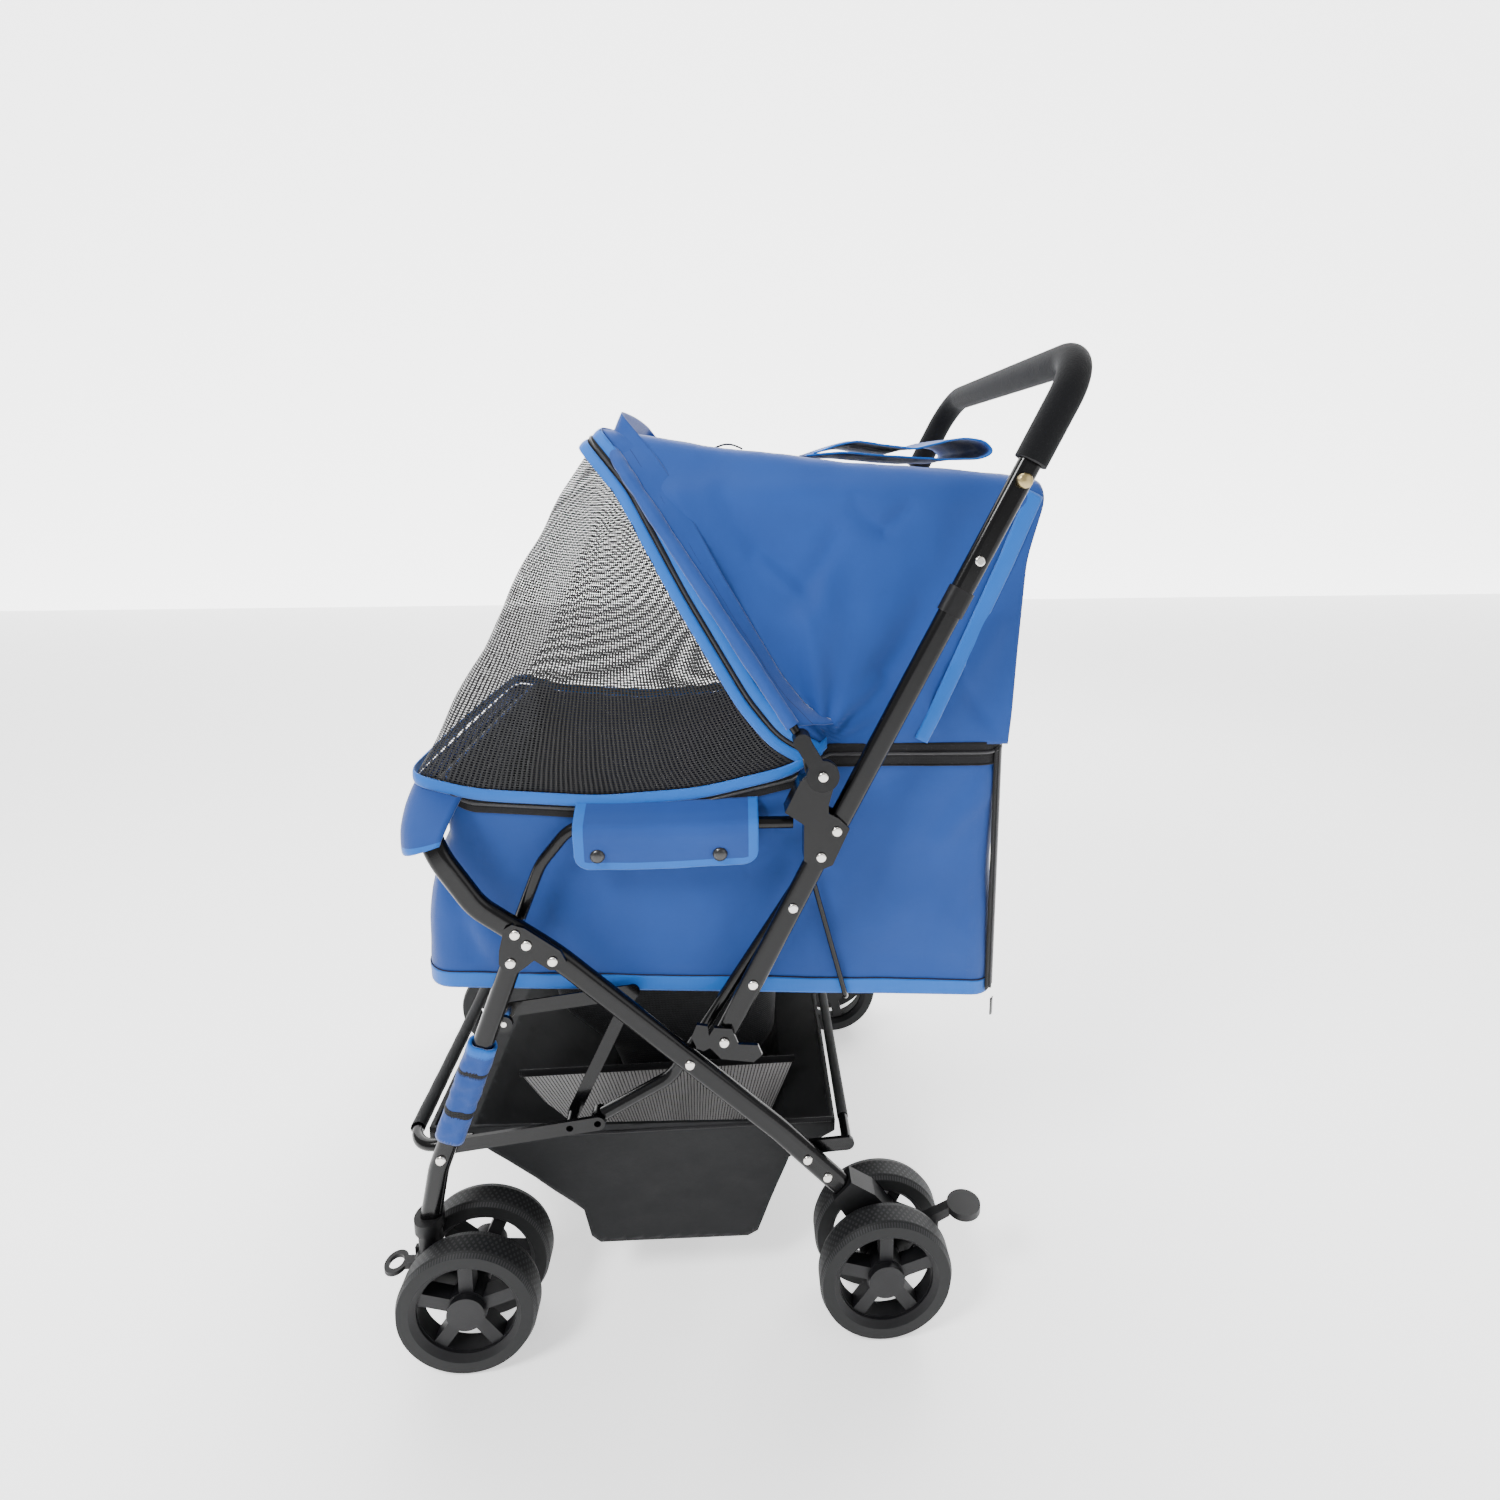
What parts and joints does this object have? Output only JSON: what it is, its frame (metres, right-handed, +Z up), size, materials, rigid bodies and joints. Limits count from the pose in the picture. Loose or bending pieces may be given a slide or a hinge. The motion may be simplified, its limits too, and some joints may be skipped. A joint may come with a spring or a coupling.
{
  "type": "pet stroller",
  "caption": "Folding pet stroller with a zipped fabric cabin, tilting canopy with mesh window, under-basket, twin swivel casters, braked rear wheels and a foam push handle.",
  "frame": {"origin": "centre of the footprint, on the floor under the wheels", "axes": "+Z up, +X towards the push handle at the rear, +Y towards the right-hand side"},
  "size_m": [0.7115, 0.464, 0.9375],
  "materials": {
    "tube_black": "gloss powder coat",
    "plastic_black": "moulded satin",
    "steel": "satin",
    "rivet_steel": "polished nickel",
    "fabric_blue": "woven polyester",
    "mesh_black": "open knitted mesh",
    "fabric_black": "woven polyester",
    "board_navy": "quilted pad",
    "foam_black": "matt foam",
    "tyre_black": "matt"
  },
  "bodies": {
    "rear_frame": {"rear_leg_left": "tube_black", "rear_leg_right": "tube_black", "front_bumper": "tube_black", "gusset_plates": "tube_black", "tray_arm_left": "tube_black", "tray_arm_right": "tube_black", "rear_bracket_left": "plastic_black", "rear_bracket_right": "plastic_black", "rear_axles": "steel", "frame_rivets": "rivet_steel", "basket_rail": "tube_black", "basket": "fabric_black", "cabin_tub": "fabric_blue", "floor_board": "board_navy"},
    "upright": {"upright_tube_left": "tube_black", "upright_tube_right": "tube_black", "lever_left": "tube_black", "lever_right": "tube_black", "hinge_plate_left": "tube_black", "hinge_plate_right": "tube_black", "floor_wire": "tube_black", "upright_rivets": "rivet_steel"},
    "latch_left": {"fold_latch_left": "tube_black"},
    "latch_right": {"fold_latch_right": "tube_black"},
    "front_legs": {"front_leg_left": "tube_black", "front_leg_right": "tube_black", "caster_socket_left": "plastic_black", "caster_socket_right": "plastic_black", "leg_sleeves": "fabric_blue", "front_rivets": "rivet_steel"},
    "basket_bar": {"basket_bar": "tube_black"},
    "upper_link": {"upper_links": "tube_black"},
    "drop_link": {"drop_links": "tube_black"},
    "handle": {"handle_tube_left": "tube_black", "handle_tube_right": "tube_black", "handle_bow": "tube_black", "handle_grip": "foam_black", "handle_joints": "plastic_black", "handle_rivets": "rivet_steel"},
    "canopy": {"canopy_bow": "tube_black", "canopy_hub_left": "plastic_black", "canopy_hub_right": "plastic_black", "canopy_shell": "fabric_blue", "canopy_window": "mesh_black"},
    "caster_left": {"caster_fork_left": "plastic_black", "front_axle_left": "steel"},
    "lock_left": {"lock_lever_left": "plastic_black"},
    "pedal_left": {"brake_pedal_left": "plastic_black"},
    "caster_right": {"caster_fork_right": "plastic_black", "front_axle_right": "steel"},
    "lock_right": {"lock_lever_right": "plastic_black"},
    "pedal_right": {"brake_pedal_right": "plastic_black"},
    "front_wheel_left_outer": {"front_wheel_left_outer": "tyre_black"},
    "front_wheel_left_inner": {"front_wheel_left_inner": "tyre_black"},
    "front_wheel_right_outer": {"front_wheel_right_outer": "tyre_black"},
    "front_wheel_right_inner": {"front_wheel_right_inner": "tyre_black"},
    "rear_wheel_left_outer": {"rear_wheel_left_outer": "tyre_black"},
    "rear_wheel_left_inner": {"rear_wheel_left_inner": "tyre_black"},
    "rear_wheel_right_outer": {"rear_wheel_right_outer": "tyre_black"},
    "rear_wheel_right_inner": {"rear_wheel_right_inner": "tyre_black"}
  },
  "joints": [
    {"name": "frame_fold", "type": "hinge", "parent": "rear_frame", "child": "upright", "pos_m": [-0.00523, 0, 0.279], "axis": [0, -1, 0], "range_deg": [0, 62], "deforming": ["cabin_tub", "floor_board", "basket", "canopy_shell", "canopy_window"]},
    {"name": "front_leg_fold", "type": "hinge", "parent": "rear_frame", "child": "front_legs", "pos_m": [-0.16073, 0, 0.3915], "axis": [0, -1, 0], "range_deg": [0, 31]},
    {"name": "basket_bar_fold", "type": "hinge", "parent": "front_legs", "child": "basket_bar", "pos_m": [-0.23423, 0, 0.1955], "axis": [0, -1, 0], "range_deg": [-44, 0]},
    {"name": "upper_link_fold", "type": "hinge", "parent": "front_legs", "child": "upper_link", "pos_m": [-0.17423, 0, 0.322], "axis": [0, -1, 0], "range_deg": [-44, 0]},
    {"name": "drop_link_fold", "type": "hinge", "parent": "basket_bar", "child": "drop_link", "pos_m": [-0.12023, 0, 0.208], "axis": [0, -1, 0], "range_deg": [0, 44]},
    {"name": "handle_fold", "type": "hinge", "parent": "upright", "child": "handle", "pos_m": [0.12927, 0, 0.505], "axis": [0, 1, 0], "range_deg": [0, 112]},
    {"name": "canopy_fold", "type": "hinge", "parent": "upright", "child": "canopy", "pos_m": [0.11577, 0, 0.559], "axis": [0, 1, 0], "range_deg": [0, 58], "deforming": ["canopy_shell", "canopy_window"]},
    {"name": "latch_left_turn", "type": "hinge", "parent": "upright", "child": "latch_left", "pos_m": [0.02677, -0.19675, 0.303], "axis": [0, 1, 0], "range_deg": [0, 18]},
    {"name": "latch_right_turn", "type": "hinge", "parent": "upright", "child": "latch_right", "pos_m": [0.02677, 0.19675, 0.303], "axis": [0, 1, 0], "range_deg": [0, 18]},
    {"name": "caster_left_swivel", "type": "hinge", "parent": "front_legs", "child": "caster_left", "pos_m": [-0.25123, -0.19675, 0.0957], "axis": [0, 0, 1], "continuous": true},
    {"name": "lock_left_lift", "type": "hinge", "parent": "caster_left", "child": "lock_left", "pos_m": [-0.26323, -0.19675, 0.0854], "axis": [0, 1, 0], "range_deg": [0, 16]},
    {"name": "pedal_left_press", "type": "hinge", "parent": "rear_frame", "child": "pedal_left", "pos_m": [0.20577, -0.19675, 0.084], "axis": [0, 1, 0], "range_deg": [0, 14]},
    {"name": "caster_right_swivel", "type": "hinge", "parent": "front_legs", "child": "caster_right", "pos_m": [-0.25123, 0.19675, 0.0957], "axis": [0, 0, 1], "continuous": true},
    {"name": "lock_right_lift", "type": "hinge", "parent": "caster_right", "child": "lock_right", "pos_m": [-0.23923, 0.19675, 0.0854], "axis": [0, -1, 0], "range_deg": [0, 16]},
    {"name": "pedal_right_press", "type": "hinge", "parent": "rear_frame", "child": "pedal_right", "pos_m": [0.20577, 0.19675, 0.084], "axis": [0, 1, 0], "range_deg": [0, 14]},
    {"name": "front_wheel_left_outer_spin", "type": "hinge", "parent": "caster_left", "child": "front_wheel_left_outer", "pos_m": [-0.21023, -0.22, 0.0635], "axis": [0, 1, 0], "continuous": true},
    {"name": "front_wheel_left_inner_spin", "type": "hinge", "parent": "caster_left", "child": "front_wheel_left_inner", "pos_m": [-0.21023, -0.1735, 0.0635], "axis": [0, 1, 0], "continuous": true},
    {"name": "front_wheel_right_outer_spin", "type": "hinge", "parent": "caster_right", "child": "front_wheel_right_outer", "pos_m": [-0.29223, 0.22, 0.0635], "axis": [0, 1, 0], "continuous": true},
    {"name": "front_wheel_right_inner_spin", "type": "hinge", "parent": "caster_right", "child": "front_wheel_right_inner", "pos_m": [-0.29223, 0.1735, 0.0635], "axis": [0, 1, 0], "continuous": true},
    {"name": "rear_wheel_left_outer_spin", "type": "hinge", "parent": "rear_frame", "child": "rear_wheel_left_outer", "pos_m": [0.17777, -0.22, 0.0635], "axis": [0, 1, 0], "continuous": true},
    {"name": "rear_wheel_left_inner_spin", "type": "hinge", "parent": "rear_frame", "child": "rear_wheel_left_inner", "pos_m": [0.17777, -0.1735, 0.0635], "axis": [0, 1, 0], "continuous": true},
    {"name": "rear_wheel_right_outer_spin", "type": "hinge", "parent": "rear_frame", "child": "rear_wheel_right_outer", "pos_m": [0.17777, 0.22, 0.0635], "axis": [0, 1, 0], "continuous": true},
    {"name": "rear_wheel_right_inner_spin", "type": "hinge", "parent": "rear_frame", "child": "rear_wheel_right_inner", "pos_m": [0.17777, 0.1735, 0.0635], "axis": [0, 1, 0], "continuous": true}
  ],
  "couplings": [
    {"joint": "front_leg_fold", "follows": "frame_fold", "ratio": 0.481},
    {"joint": "basket_bar_fold", "follows": "frame_fold", "ratio": -0.691},
    {"joint": "upper_link_fold", "follows": "frame_fold", "ratio": -0.691},
    {"joint": "drop_link_fold", "follows": "frame_fold", "ratio": 0.691}
  ]
}
